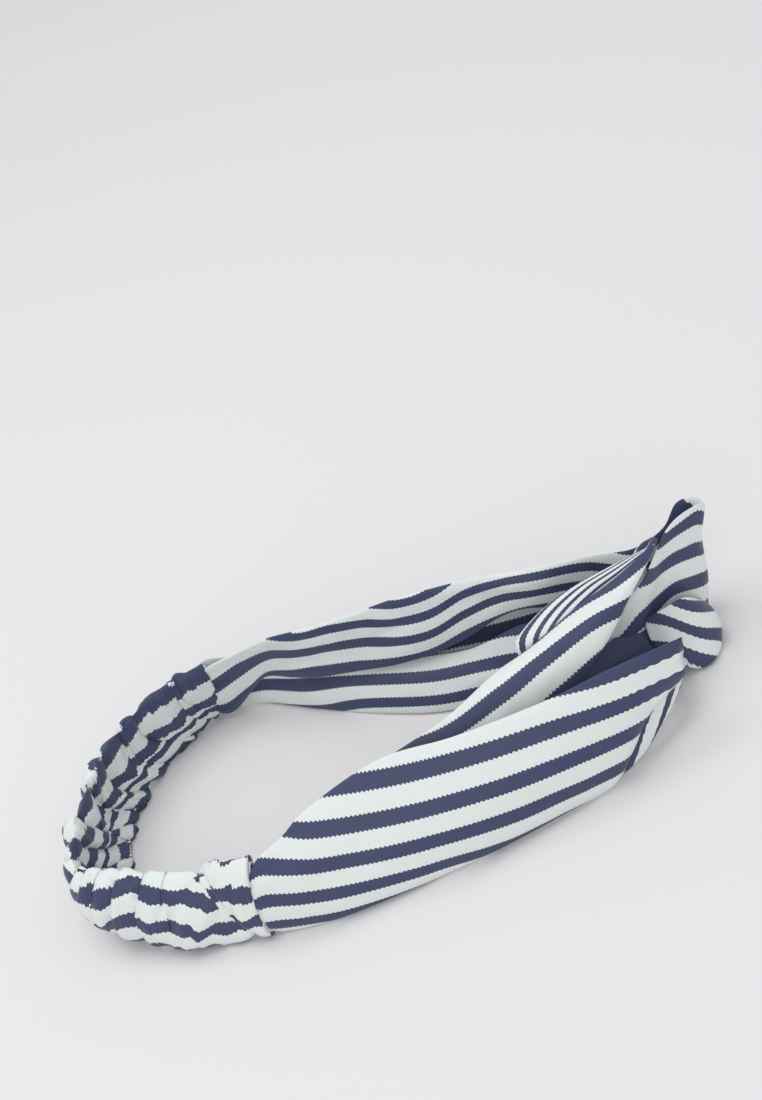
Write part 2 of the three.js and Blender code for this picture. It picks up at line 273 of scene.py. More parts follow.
# The near loop past its twist: under the end, up behind, over the far loop and back to the join.
NEAR_TURN = [
    ((44, -42, 1), (48, -39, 9), (52, -35, 17), 2.4, (1.3, 0.9, 0.5)),
    ((54, -43.5, 1.2), (58, -40, 8), (61, -36, 15), 2.8, (1.9, 1.5, 1.1)),
    ((61, -41.5, 2), (65, -38, 9), (69, -33.5, 15), 3.2, (2.5, 2.1, 1.65)),
    ((67, -38, 3.5), (72, -34.5, 9.5), (76, -30.5, 16), 3.6, (3.1, 2.65, 2.25)),
    ((73, -34.5, 6), (77.5, -31, 11), (81, -27.5, 16), 3.8, (3.7, 3.2, 2.8)),
    ((78, -28, 7), (81.5, -26, 10), (85, -23, 13), 4.2, (4.2, 3.8, 3.4)),
    ((79, -12, 3.5), (84, -12, 3.5), (89, -13, 4.5), 4.6, (2.9, 3.0, 3.4)),
    ((79, 0, 6.5), (85, 1, 6), (91, 0, 7.5), 4.6, (2.8, 3.0, 3.2)),
    ((79, 4, 22), (84.5, 4.5, 22), (89, 4, 22), 4.0, (2.8, 3.0, 3.2)),
    ((86, 4.5, 32), (89, 4.8, 33), (92, 4.5, 32.5), 2.6, (2.3, 2.6, 3.0)),
    ((91.6, 1.5, 37.6), (93, 1.2, 38.6), (94.2, 1, 37.8), 1.4, (1.8, 2.0, 2.2)),
    ((92.0, -1.8, 40.4), (93, -2, 40.6), (93.8, -2.4, 40), 1.1, (1.8, 2.0, 2.2)),
    ((87.4, -6.2, 41.2), (87.5, -8.2, 41), (86.4, -10, 39.4), 1.5, (1.75, 2.05, 2.35)),
    ((76, -9.8, 39.5), (77.5, -13, 39.5), (78.7, -15.8, 36.8), 2.8, (1.75, 2.25, 2.85)),
    ((62, -12, 37.8), (64.5, -18, 38), (66, -24.5, 32), 3.0, (1.8, 2.75, 3.75)),
    ((47, -16, 36.3), (48, -23, 35.5), (51, -29, 26.5), 2.8, (2.0, 3.0, 4.0)),
    ((34, -18, 35), (33, -25.5, 31.5), (35, -31, 23), 2.8, (2.25, 3.1, 4.0)),
    ((15, -23.5, 32.5), (13, -30, 25), (14, -35, 14), 2.8, (2.56, 3.6, 4.7)),
    ((-8, -25.5, 29.5), (-8, -31, 18), (-6, -37, 5), 2.8, (3.1, 4.5, 5.9)),
    ((-31, -28.5, 25), (-32, -33, 15), (-32, -38, 3), 2.8, (3.3, 4.7, 6.1)),
    ((-49.5, -34, 24), (-53, -36.5, 14), (-53, -37, 2), 2.6, (3.3, 4.6, 5.9)),
    ((-54.5, -35.5, 22), (-58, -37, 13), (-58, -37, 3), 2.0, (3.4, 4.6, 5.8)),
]

# The near loop's inner ply, crumpled in the hollow behind its loose end.
NEAR_INNER = [
    ((38, -24, 0.5), (38, -23, 8), (38, -22, 17), 1.4, (0.1, 0.85, 1.15)),
    ((56, -20, 0.5), (56, -17, 9), (57, -14, 19), 1.4, (0.0, 0.85, 1.15)),
    ((70, -18, 0.5), (70, -13, 9), (71, -8.5, 19), 1.4, (0.0, 0.85, 1.15)),
    ((82, -15, 0.5), (82, -11, 9), (82, -7.5, 17), 1.4, (0.0, 0.85, 1.2)),
    ((92, -11, 0.5), (92, -7, 8), (91, -4, 15), 1.4, (0.2, 0.95, 1.3)),
]

# The part of the near loop that lies gathered in folds under the crease of its turn.
NEAR_PLEAT = [
    ((92.6, -3.2, 40.8), (92.6, -3.5, 40.8), (92.6, -3.8, 40.6), 0.8, (0.55, 2.6, 5.0)),
    ((86, -4.5, 41.6), (86, -5.7, 41.8), (87, -6.8, 41), 1.0, (0.55, 2.6, 5.0)),
    ((75.5, -4.5, 41), (77, -7, 41.6), (79, -9, 39.6), 1.2, (0.55, 2.6, 5.0)),
    ((64, -4.5, 40), (69, -8, 41.2), (75.5, -10, 39), 1.2, (0.55, 2.6, 5.0)),
    ((55, -6, 39), (62.5, -9.5, 40.2), (71, -11, 38.4), 1.2, (0.55, 2.6, 5.0)),
    ((47.6, -8, 37), (57, -11.5, 38.8), (66, -12, 37.6), 1.2, (0.55, 2.6, 5.0)),
    ((43.6, -11, 36), (52, -14, 36.8), (60, -13.5, 36.6), 1.2, (0.55, 2.6, 5.0)),
    ((42.6, -14.5, 32), (50, -14.5, 34), (58, -13, 34), 1.2, (0.55, 2.6, 5.0)),
]

# The far loop: from the far join along the inside, round the right edge and back underneath.
FAR_LOOP = [
    ((-50, 60, 3), (-50, 58.5, 13), (-49, 56, 24), 2.0, (-0.3, 0.7, 1.6)),
    ((-46, 58.5, 2), (-46, 57, 14), (-45, 54, 27), 2.4, (-0.3, 0.7, 1.65)),
    ((-38.5, 56, 8), (-36, 53, 19), (-35, 49.5, 30.5), 2.6, (-0.15, 0.7, 1.55)),
    ((-31, 53, 14), (-27, 49, 24), (-25, 45, 34), 2.8, (-0.04, 0.8, 1.75)),
    ((-23, 47, 14), (-17.5, 43.7, 24.5), (-14.5, 40.6, 35), 2.8, (-0.12, 0.85, 2.3)),
    ((-15, 41, 14), (-8, 38.5, 25), (-4, 36.5, 36), 2.8, (-0.25, 0.82, 2.35)),
    ((-3, 35, 14.5), (3, 34.3, 26), (7, 33.2, 37), 2.8, (-0.24, 1.06, 2.7)),
    ((9, 29, 15), (14, 30, 27), (18, 30, 38), 2.8, (-0.2, 1.5, 3.3)),
    ((20.5, 25, 16), (24.5, 26.2, 27.5), (28.5, 26.2, 38.5), 2.8, (-0.16, 1.55, 3.15)),
    ((32.5, 21.2, 19), (35.5, 22.5, 28.7), (39, 22, 39), 2.8, (-0.2, 1.13, 2.55)),
    ((45, 17.3, 24), (46.6, 18.2, 31.3), (48.5, 18.5, 38.5), 2.8, (0.08, 1.13, 2.45)),
    ((55, 14, 24), (56, 14, 31.5), (58, 15, 38), 3.0, (-0.07, 1.18, 2.45)),
    ((72, 12, 14), (72, 12, 26), (75, 11, 36), 3.2, (-0.9, 1.0, 2.45)),
    ((86, 11, 3), (86, 10.5, 20), (88, 10, 31.7), 2.6, (-1.2, 1.2, 3)),
    ((97, 10, 1), (98, 10.5, 19), (98.8, 10.5, 33.4), 2.2, (-0.8, 1.7, 3.05)),
    ((100, 7.5, 1), (103.5, 9.5, 20.5), (105.3, 10.3, 40.3), 2.0, (-0.4, 1.9, 3.1)),
    ((101.5, 3.5, 1), (106.3, 6.5, 21), (111.8, 8, 41), 1.9, (-0.5, 1.7, 3.5)),
    ((100.5, 0, 1), (104.8, 3.4, 21), (112.5, 4.5, 40.4), 1.9, (-0.6, 1.5, 3.5)),
    ((97.2, -2, 1), (101.6, 1.6, 21.3), (109.2, 3, 42.2), 2.2, (-0.8, 1.34, 3.4)),
    ((89.5, -3.5, 12), (94, -1, 27), (99.1, 1.4, 40.2), 2.2, (0.1, 1.6, 3.36)),
    ((78.6, -7, 14), (80.5, -7.8, 23), (82.5, -8, 32), 2.4, (0.5, 1.15, 1.75)),
    ((68, -5, 13), (67, -5, 21), (66, -3, 29), 2.8, (0.8, 1.7, 2.5)),
    ((48, 6, 0.8), (48, 8.5, 10.5), (48, 14, 20.5), 3.0, (-0.5, 0.85, 2.05)),
    ((32, 11, 0.3), (32, 13.5, 7.8), (32, 21, 14.5), 2.8, (-0.65, 0.5, 1.7)),
    ((15, 17, 0.3), (16, 20.5, 7.3), (17, 30.5, 12.5), 2.8, (-0.68, 0.56, 1.85)),
    ((-4, 30, 0.3), (-4, 33.3, 7.3), (-5, 42, 13.5), 2.8, (-0.55, 0.52, 1.75)),
    ((-18, 42, 0.3), (-18.5, 45.2, 7.3), (-20, 52.5, 14), 2.8, (-0.05, 0.82, 1.7)),
    ((-34, 57, 0.3), (-34, 60, 8), (-34, 62, 17), 2.6, (0.2, 1.1, 1.95)),
    ((-46, 64, 1), (-46, 62.5, 13), (-45, 59, 26), 2.4, (0.3, 1.5, 2.6)),
    ((-50, 64, 3), (-50, 62, 13), (-49, 59, 24), 2.0, (0.3, 1.5, 2.5)),
]

# The far loop's outer ply, which hangs behind the gap between its two passes.
FAR_LINING = [
    ((-33, 60.5, 5), (-33, 62, 10), (-32, 61.5, 15), 1.0, (-0.6, -0.2, 0.2)),
    ((-22, 52, 1.5), (-21, 52, 11), (-19, 50, 20), 1.2, (-0.9, -0.15, 0.6)),
    ((-8, 42.5, 0.5), (-6, 41.5, 12), (-2, 40, 24), 1.2, (-1.05, -0.1, 0.95)),
    ((6, 36, 0.5), (9, 35.5, 12.5), (12, 34.5, 26), 1.2, (-1.05, -0.1, 0.98)),
    ((25, 29, 1), (27, 28.8, 14), (29, 28.5, 28), 1.2, (-1.0, -0.05, 1.05)),
    ((45, 22, 4), (46, 21.8, 16.5), (47, 21.5, 29), 1.2, (-0.8, 0.1, 1.1)),
    ((68, 16, 8), (69, 15.8, 18), (70, 15.5, 28), 1.2, (-0.5, 0.2, 1.0)),
    ((84, 13.6, 12), (85, 13.6, 18), (86, 13.4, 24), 1.0, (-0.2, 0.25, 0.75)),
    ((95, 12.6, 15), (96, 12.6, 18), (97, 12.6, 21), 0.8, (0, 0.25, 0.5)),
]

# The far loop's lower part, rolled outward into a foot below the twist.
FAR_FOOT = [
    ((82, -13, 9), (81, -10, 15), (82, -8, 20.5), 2.0, (-0.3, 0.3, 0.9)),
    ((89, -17, 2), (87, -13.5, 12), (87.2, -9.5, 22), 2.2, (-0.3, 0.25, 1.4)),
    ((95.2, -16.5, 0.8), (95, -13.5, 10), (94.5, -9, 22.2), 2.2, (0, 0.95, 2.3)),
    ((100.2, -10, 0.8), (101.2, -8, 7), (100, -3.5, 13.5), 2.2, (0.8, 1.45, 2.3)),
    ((101, 1, 0.8), (101.5, 3, 4), (100.5, 5, 8.5), 2.0, (1.2, 1.9, 2.6)),
]


def corner_reach(t, w):
    """The loose end of the outer fold runs on to a point, a little below its upper corner (mm)."""
    end = len(NEAR_OUTER) - 1
    point = 11.0 * bump(w, 0.70, 0.13)
    shoulder = 3.0 * bump(w, 0.90, 0.09)
    return (point + shoulder) * smoothstep(t, end - 0.8, end)


# ---------------------------------------------------------------- the gathered sleeve
# Lower edge, middle and upper edge of the sleeve from the far join round to the near join.
SLEEVE = [
    ((x0, y0, 0.6), (x1, y1, 13), (x2, y2, z2), 2 * SLEEVE_HALF, (0, 0, 0))
    for x0, y0, x1, y1, x2, y2, z2 in (
        (-48, 63, -48, 60.5, -47, 56, 27),
        (-57, 59.5, -60, 58, -56, 54.5, 28),
        (-68, 52, -72.5, 52, -67, 50.5, 28.5),
        (-79, 42.5, -84.5, 42.5, -78, 43.3, 28.5),
        (-86.5, 30, -94, 31.5, -87, 33.3, 28.5),
        (-90.5, 17, -99.5, 18, -94.5, 21, 28),
        (-93.5, 4, -103.5, 4, -100.5, 8, 27.5),
        (-96, -7, -103.5, -8, -102, -4, 27),
        (-92, -17, -97, -17.5, -93, -12.5, 27),
        (-82, -27, -84, -27, -80, -21, 26.5),
        (-69, -34, -70, -34, -66.5, -29, 26.5),
        (-56, -39, -56, -39, -52, -35.5, 28.5),
    )
]

# Round the sleeve from its long seam: down the inner face, up the outer one and back (mm), with
# the count of stripes at each place. The seam sits about a third of the way up the inner face.
SEAM_HEIGHT = 10.2
RING_MARKS = (0, SEAM_HEIGHT, SLEEVE_WIDTH + SEAM_HEIGHT, 2 * SLEEVE_WIDTH)
RING_STRIPES = (5.20, 4.03, 1.20, -0.30)
# Stripes the cloth has crept round the elastic, at places along the sleeve (mm).
CREEP_PLACES = (0, 60, 95, 108, 120, 140, 150)
CREEP_STRIPES = (-0.12, -0.12, 0.12, 0.26, 0.46, 0.02, -0.10)

# Deep creases of the sleeve: place (mm from the far join), slant (mm from lower to upper edge),
# depth, reach of the gentle side, stripes slipped across it, and the way it laps (+1 toward the
# near join). They crowd together where the band turns back on itself.
DEEP_CREASES = [
    (12, 10, 1.8, 4.0, -0.14, -1),
    (24, 17, 2.4, 4.5, 0.14, 1),
    (36, 12, 2.0, 4.0, -0.14, -1),
    (47, 14, 2.2, 4.0, 0.12, 1),
    (58, 18, 3.6, 4.5, -0.30, -1),
    (67, 19, 3.8, 4.0, 0.40, 1),
    (75, 21, 4.0, 4.5, -0.40, -1),
    (83, 20, 4.0, 4.0, 0.40, 1),
    (90, 16, 3.6, 3.5, -0.35, 1),
    (97, 10, 3.0, 3.2, 0.22, 1),
    (104, 7, 2.6, 2.6, -0.15, -1),
    (110, 5, 2.6, 2.6, 0.12, 1),
    (117, 7, 3.0, 3.0, -0.12, 1),
    (127, 4, 1.6, 3.0, 0.06, -1),
    (146, -11, 5.0, 6.0, 0.34, 1),
]


def small_creases(length):
    """The little creases between the deep ones, a few millimetres apart."""
    rng = np.random.default_rng(14)
    place = 3.0
    while place < length - 3:
        slant, depth, reach = rng.uniform(0, 12), rng.uniform(0.4, 1.1), rng.uniform(1.2, 2.4)
        yield place, slant, depth, reach, rng.uniform(-0.08, 0.08), rng.choice((-1, 1))
        place += rng.uniform(3.4, 6.0)


def ring_place(w, side):
    """How far round from the seam a place lies (mm), going down the inner face first."""
    height = w * SLEEVE_WIDTH
    below = SEAM_HEIGHT - height
    above = 2 * SLEEVE_WIDTH + SEAM_HEIGHT - height
    inner = np.where(height <= SEAM_HEIGHT + 1e-6, below, above)
    return np.where(side > 0, SEAM_HEIGHT + height, inner)


def sleeve_angles(half_count=60):
    """Angles round the sleeve from its seam: 0 is the lower edge, pi the upper, outer face between."""
    seam = SEAM_HEIGHT / SLEEVE_WIDTH
    first = 2 * np.pi - np.arccos(1 - 2 * seam)
    return first + np.linspace(0, 2 * np.pi, 2 * half_count, endpoint=False)


def sleeve_tube(band, t_row, half, margin=0.0):
    """Rings of a smooth flattened tube along the sleeve."""
    angle = sleeve_angles()
    w = margin + (1 - 2 * margin) * (1 - np.cos(angle)) / 2
    inside = (w - margin) / (1 - 2 * margin)
    t, w = np.meshgrid(t_row, w, indexing="ij")
    lift = half * folded_edge(inside) * np.sign(np.sin(angle))
    return band.surface(t, w) + band.normal(t, w) * np.broadcast_to(lift, t.shape)[..., None]


def crease_field(u, w, side, angle, length):
    """How far the creases dip the cloth and push it along (mm), and how many stripes they slip."""
    dip, push, slip = np.zeros(u.shape), np.zeros(u.shape), np.zeros(u.shape)
    for k, crease in enumerate([*DEEP_CREASES, *small_creases(length)]):
        place, slant, depth, reach, slipped, lap = crease
        wander = noise(w * 2.4 + k, side * 0.3 + k, 31) * min(reach, 3.0) * 0.6
        x = u - place - slant * (w - MIDDLE) - wander
        spread = np.where(x * lap > 0, 0.3 * reach, reach)
        uneven = 0.65 + 0.35 * np.cos(angle + 2.1 * k)
        here = depth * uneven * np.exp(-((np.abs(x) / spread) ** 1.3))
        dip = np.maximum(dip, here)
        push += 0.7 * lap * depth * uneven * np.exp(-((x / reach) ** 2)) * (x * lap < 0)
        slip += slipped / 2 * np.sign(x) * np.exp(-np.abs(x) / (2.2 * reach))
    return dip, push, slip


def sleeve_map(points, along, w_row, side_row, slip):
    """The cloth map of the sleeve's outside: length run along the cloth, and stripes round it."""
    ring = np.append(ring_place(w_row, side_row), RING_MARKS[-1])
    stripes = np.interp(ring, RING_MARKS, RING_STRIPES)
    drift = np.interp(along, CREEP_PLACES, CREEP_STRIPES)
    stripes = stripes[None, :] + np.concatenate([slip, slip[:, :1]], axis=1) + drift[:, None]
    steps = np.linalg.norm(np.diff(points, axis=0), axis=-1).mean(axis=1)
    run = np.concatenate([[0], np.cumsum(steps)])[:, None]
    return np.stack(np.broadcast_arrays(run, stripes), -1)


SWELL_SLANT = 13         # the swellings between creases lean like the creases do (mm)
SWELL_LENGTH = 4.6
PUFF_LENGTH = 17.0
MOUTH_REACH = 8.0        # the cloth is held flatter this close to a sewn mouth (mm)
MOUTH_SHARE = 0.25       # share of the relief left at the mouth itself
LINING_MARGIN = 0.07     # the hollow stops this share of the width short of each edge


def sleeve_cloth(name):
    """The ply of cloth gathered over the elastic: creased outside, smooth inside, open at both ends."""
    band = Band(SLEEVE)
    t_row, along = band.stops(0, band.last, SLEEVE_RING)
    angle = sleeve_angles()
    w_row, side_row = (1 - np.cos(angle)) / 2, np.sign(np.sin(angle))
    points = sleeve_tube(band, t_row, SLEEVE_HALF)
    onward = unit(np.gradient(points, axis=0))
    around = unit(np.roll(points, -1, axis=1) - np.roll(points, 1, axis=1))
    outward = unit(np.cross(onward, around))
    u, w, side = np.broadcast_arrays(along[:, None], w_row[None, :], side_row[None, :])
    dip, push, slip = crease_field(u, w, side, angle, along[-1])
    # soft swellings that lean the same way as the creases, and pull the stripes with them
    leaning = u - SWELL_SLANT * (w - MIDDLE)
    swell = noise(leaning / SWELL_LENGTH, w * 1.6 + 0.4 * side, 41)
    puff = 1.1 * swell + 0.8 * noise(u / PUFF_LENGTH, w * 1.5 + 3 * side, 43)
    slip += 0.13 * noise(leaning / 4.2, w * 1.3 + 0.4 * side, 47)
    free = smoothstep(np.minimum(u, along[-1] - u), 0.0, MOUTH_REACH)
    height = (puff - dip) * (MOUTH_SHARE + (1 - MOUTH_SHARE) * free)
    points = points + outward * height[..., None] + onward * (push * free)[..., None]
    points = kept_off_floor(points)
    cloth = sleeve_map(points, along, w_row, side_row, slip)
    # the outside runs to the near mouth, and the lining back from there to the far one
    lining = sleeve_tube(band, t_row, LINING_HALF, LINING_MARGIN)
    points = np.concatenate([points, lining[::-1]])
    return closed_skin(name, points, np.concatenate([cloth, cloth[::-1]]), ends="joined")


# ---------------------------------------------------------------- elastic and thread
ELASTIC_MARGIN = 0.13    # share of the sleeve's width left free at each edge of the elastic
ELASTIC_HALF = 0.5       # half of its thickness (mm)
SEAM_DEPTH = 1.08        # the sleeve's long seam lies just inside the cloth
TACK_ROWS = 5
TACK_PITCH = 1.4
STATION_LENGTH = 15.0    # about one station of the sleeve (mm)
ELASTIC_INSET = 0.12     # the elastic stops short of both mouths (stations)
SEAM_INSET = 0.3         # and so does the long seam
ELASTIC_FACE_STEPS = 30
RIPPLE = 0.12            # the relaxed elastic ripples a little under the gathers (mm)
RIPPLE_LENGTH = 2.1      # for one radian of the ripple
WHIP_ROWS = 60           # stitches round a mouth
WHIP_MARGIN = 0.06       # share of the width the stitches stay clear of each edge
WHIP_DEPTH = 0.72        # how far out they lie, as a share of the sleeve's half thickness
WHIP_RADIUS = 0.16
WHIP_FLOOR_GAP = 0.5


def elastic_strip(name):
    """The flat elastic inside the sleeve, with blunt woven edges."""
    band = Band(SLEEVE)
    t_row, along = band.stops(ELASTIC_INSET, band.last - ELASTIC_INSET, LOOP_RING)
    share, side = both_faces(ELASTIC_FACE_STEPS)
    w = ELASTIC_MARGIN + (1 - 2 * ELASTIC_MARGIN) * share
    t, w = np.meshgrid(t_row, w, indexing="ij")
    lift = ELASTIC_HALF * side * np.sqrt(1 - np.abs(2 * share - 1) ** 10)
    ripple = RIPPLE * np.sin(along / RIPPLE_LENGTH)[:, None] * np.ones(t.shape)
    points = band.surface(t, w) + band.normal(t, w) * (lift + ripple)[..., None]
    across = np.append(share, 0) * SLEEVE_WIDTH
    u, v = np.broadcast_arrays(along[:, None], across[None, :])
    return closed_skin(name, points, np.stack([u, v], -1))


def thread(name, path, radius=THREAD_RADIUS, closed=False):
    """A two-ply thread along a row of points: its section has two lobes that twist along it."""
    path = np.asarray(path, float)
    ahead = np.roll(path, -1, axis=0) - np.roll(path, 1, axis=0)
    if not closed:
        ahead[0], ahead[-1] = path[1] - path[0], path[-1] - path[-2]
    ahead = unit(ahead)
    side = unit(np.cross(ahead, np.array([0.31, 0.17, 0.94])))
    top = np.cross(side, ahead)
    steps = np.linalg.norm(np.diff(path, axis=0), axis=1)
    along = np.concatenate([[0], np.cumsum(steps)])
    angle = np.linspace(0, 2 * np.pi, 10, endpoint=False)[None, :]
    lobes = radius * (0.74 + 0.26 * np.abs(np.cos(angle - along[:, None] * THREAD_TWIST)))
    rings = (
        path[:, None]
        + side[:, None] * (lobes * np.cos(angle))[..., None]
        - top[:, None] * (lobes * np.sin(angle))[..., None]
    )
    u, v = np.broadcast_arrays(along[:, None], np.append(angle, 2 * np.pi)[None, :])
    return closed_skin(name, rings, np.stack([u, v], -1), ends="joined" if closed else "capped")


def seam_thread(name):
    """The long seam on the inner face of the sleeve."""
    band = Band(SLEEVE)
    t_row, _ = band.stops(SEAM_INSET, band.last - SEAM_INSET, 2 * THREAD_RADIUS)
    w = np.full(t_row.shape, SEAM_HEIGHT / SLEEVE_WIDTH)
    return thread(name, band.surface(t_row, w) - band.normal(t_row, w) * SEAM_DEPTH)


def elastic_tack(name, start, way):
    """The zigzag of thread that holds one end of the elastic, on its outer face."""
    band = Band(SLEEVE)
    passes = np.linspace(0, TACK_ROWS, TACK_ROWS * 24)
    across = 0.5 + 0.25 * (2 * np.abs((passes % 2) - 1) - 1)
    t = start + way * passes * TACK_PITCH / STATION_LENGTH
    return thread(name, band.surface(t, across) + band.normal(t, across) * SEAM_DEPTH)


def join_stitches(name, end, way):
    """The whipped stitches that close a mouth of the sleeve over the ends of the loops."""
    band = Band(SLEEVE)
    turn = np.linspace(0, 2 * np.pi, WHIP_ROWS * 8, endpoint=False)
    inside = (1 - np.cos(turn)) / 2
    w = WHIP_MARGIN + (1 - 2 * WHIP_MARGIN) * inside
    half = WHIP_DEPTH * SLEEVE_HALF * folded_edge(inside) * np.sign(np.sin(turn))
    t = np.full(turn.shape, float(end))
    mouth, within = (band.surface(place, MIDDLE) for place in (end, end - 0.1 * way))
    whip = 0.35 + 0.3 * np.sin(turn * WHIP_ROWS)
    points = band.surface(t, w) + band.normal(t, w) * half[:, None]
    points = points + unit(mouth - within) * whip[:, None]
    return thread(name, kept_off_floor(points, WHIP_FLOOR_GAP), WHIP_RADIUS, closed=True)


# ---------------------------------------------------------------- materials
def node_tree(name):
    material = bpy.data.materials.new(name)
    material.use_nodes = True
    nodes = material.node_tree.nodes
    nodes.clear()
    return material, nodes, material.node_tree.links


class Sums:
    """Short arithmetic on node sockets."""

    def __init__(self, nodes, links):
        self.nodes, self.links = nodes, links

    def plug(self, socket, value):
        if isinstance(value, bpy.types.NodeSocket):
            self.links.new(value, socket)
        else:
            socket.default_value = value

    def math(self, operation, a, b=0.0, c=0.0):
        node = self.nodes.new("ShaderNodeMath")
        node.operation = operation
        for socket, value in zip(node.inputs, (a, b, c)):
            self.plug(socket, value)
        return node.outputs[0]

    def noise(self, vector, scale, detail=2.0):
        node = self.nodes.new("ShaderNodeTexNoise")
        node.inputs["Scale"].default_value = scale
        node.inputs["Detail"].default_value = detail
        self.links.new(vector, node.inputs["Vector"])
        return node.outputs["Fac"]

    def mix(self, factor, a, b):
        node = self.nodes.new("ShaderNodeMix")
        node.data_type = "RGBA"
        self.plug(node.inputs["Factor"], factor)
        self.plug(node.inputs[6], a)
        self.plug(node.inputs[7], b)
        return node.outputs[2]

    def spread(self, value, low, high, to_low=0.0, to_high=1.0):
        node = self.nodes.new("ShaderNodeMapRange")
        self.plug(node.inputs["Value"], value)
        ends = {"From Min": low, "From Max": high, "To Min": to_low, "To Max": to_high}
        for key, number in ends.items():
            node.inputs[key].default_value = number
        return node.outputs["Result"]


def cloth_coordinates(nodes, links):
    """The cloth map, and its two counts apart: along the cloth and across it."""
    cloth = nodes.new("ShaderNodeUVMap")
    cloth.uv_map = "cloth"
    split = nodes.new("ShaderNodeSeparateXYZ")
    links.new(cloth.outputs[0], split.inputs[0])
    return cloth.outputs[0], split.outputs[0], split.outputs[1]


def finish_fabric(
    sums, colour, height, relief, roughness, sheen, sheen_spread=0.5, strength=0.4, specular=0.3
):
    """Principled fabric: colour, a bump of the given relief (m), roughness and sheen."""
    nodes, links = sums.nodes, sums.links
    bumps = nodes.new("ShaderNodeBump")
    bumps.inputs["Strength"].default_value = strength
    bumps.inputs["Distance"].default_value = relief
    links.new(height, bumps.inputs["Height"])
    shader = nodes.new("ShaderNodeBsdfPrincipled")
    sums.plug(shader.inputs["Base Color"], colour)
    sums.plug(shader.inputs["Roughness"], roughness)
    links.new(bumps.outputs[0], shader.inputs["Normal"])
    shader.inputs["Specular IOR Level"].default_value = specular
    shader.inputs["Sheen Weight"].default_value = sheen
    shader.inputs["Sheen Roughness"].default_value = sheen_spread
    out = nodes.new("ShaderNodeOutputMaterial")
    links.new(shader.outputs[0], out.inputs[0])


NAVY = (0.046, 0.059, 0.124, 1)
WHITE = (0.76, 0.80, 0.785, 1)
EDGE_SOFTNESS = 0.007    # share of the pitch over which navy turns to white, either way
TWILL_PITCH = 0.42       # the fine slanted ribs of the satin (mm)
TWILL_SLANT = 0.6        # how much the ribs lean across the band
STREAKS_ALONG = 1.6      # uneven threads, to the millimetre along a stripe
STREAKS_ACROSS = 5       # and across it


def stripe_whiteness(sums, cloth, along, stripes):
    """0 in the navy and 1 in the white. Both edges of a stripe wave out and in together."""
    uneven = sums.math("MULTIPLY", sums.noise(cloth, 0.35), 5.0)
    turn = sums.math("ADD", sums.math("MULTIPLY", along, 2 * math.pi / TOOTH_PITCH), uneven)
    tooth = sums.math("MULTIPLY", sums.math("SINE", turn), TOOTH_DEPTH / STRIPE_PITCH)
    part = sums.math("FRACT", sums.math("ADD", stripes, 0.5))
    from_centre = sums.math("ABSOLUTE", sums.math("SUBTRACT", part, 0.5))
    past_edge = sums.math("SUBTRACT", from_centre, sums.math("ADD", tooth, NAVY_SHARE / 2))
    return sums.spread(past_edge, -EDGE_SOFTNESS, EDGE_SOFTNESS)


def striped_satin():
    """Navy and white stripes counted by the cloth map, in fine twill with uneven threads."""
    material, nodes, links = node_tree("striped_satin")
    sums = Sums(nodes, links)
    cloth, along, stripes = cloth_coordinates(nodes, links)
    colour = sums.mix(stripe_whiteness(sums, cloth, along, stripes), NAVY, WHITE)
    place = nodes.new("ShaderNodeCombineXYZ")
    links.new(sums.math("MULTIPLY", along, STREAKS_ALONG), place.inputs[0])
    links.new(sums.math("MULTIPLY", stripes, STRIPE_PITCH * STREAKS_ACROSS), place.inputs[1])
    streak = sums.noise(place.outputs[0], 1.0, 3.0)
    shaded = nodes.new("ShaderNodeHueSaturation")
    links.new(colour, shaded.inputs["Color"])
    links.new(sums.spread(streak, 0.3, 0.7, 0.93, 1.06), shaded.inputs["Value"])
    across = sums.math("MULTIPLY", stripes, STRIPE_PITCH * TWILL_SLANT)
    slanted = sums.math("ADD", along, across)
    ribs = sums.math("SINE", sums.math("MULTIPLY", slanted, 2 * math.pi / TWILL_PITCH))
    height = sums.math("ADD", sums.math("MULTIPLY", ribs, 0.35), streak)
    roughness = sums.spread(streak, 0.2, 0.8, 0.42, 0.58)
    finish_fabric(
        sums, shaded.outputs[0], height, 0.00006, roughness,
        sheen=0.12, sheen_spread=0.4, strength=0.25, specular=0.35,
    )
    return material


OFF_WHITE = (0.86, 0.86, 0.83, 1)
# painted shade: the grey the webbing's colour takes in the low parts of its ribs and weft
OFF_WHITE_PAINTED_SHADE = (0.62, 0.62, 0.58, 1)
RUBBER_RIB = 1.2         # one rib across the elastic (mm)
WEFT = 0.6               # one crossing thread along it (mm)


def woven_elastic():
    """Off-white webbing: rubber ribs along it, and weft that crosses them, with painted shade in the
    hollows of the weave.
    """
    material, nodes, links = node_tree("elastic_webbing")
    sums = Sums(nodes, links)
    cloth, along, across = cloth_coordinates(nodes, links)
    ribs = sums.math("SINE", sums.math("MULTIPLY", across, 2 * math.pi / RUBBER_RIB))
    weft = sums.math("SINE", sums.math("MULTIPLY", along, 2 * math.pi / WEFT))
    height = sums.math("ADD", ribs, sums.math("MULTIPLY", weft, 0.5))
    fibre = sums.noise(cloth, 2.2, 4.0)
    # random fibre tone, plus painted shade where the ribs and weft are low
    fibre_and_shade = sums.math("ADD", fibre, sums.math("MULTIPLY", height, 0.12))
    colour = sums.mix(sums.spread(fibre_and_shade, 0.2, 0.9), OFF_WHITE_PAINTED_SHADE, OFF_WHITE)
    finish_fabric(sums, colour, height, 0.0001, sums.spread(fibre, 0.2, 0.8, 0.7, 0.9), 0.15)
    return material


THREAD_WHITE = (0.84, 0.85, 0.84, 1)
# painted shade: the grey the thread's colour takes between its plies
THREAD_PAINTED_SHADE = (0.55, 0.56, 0.57, 1)


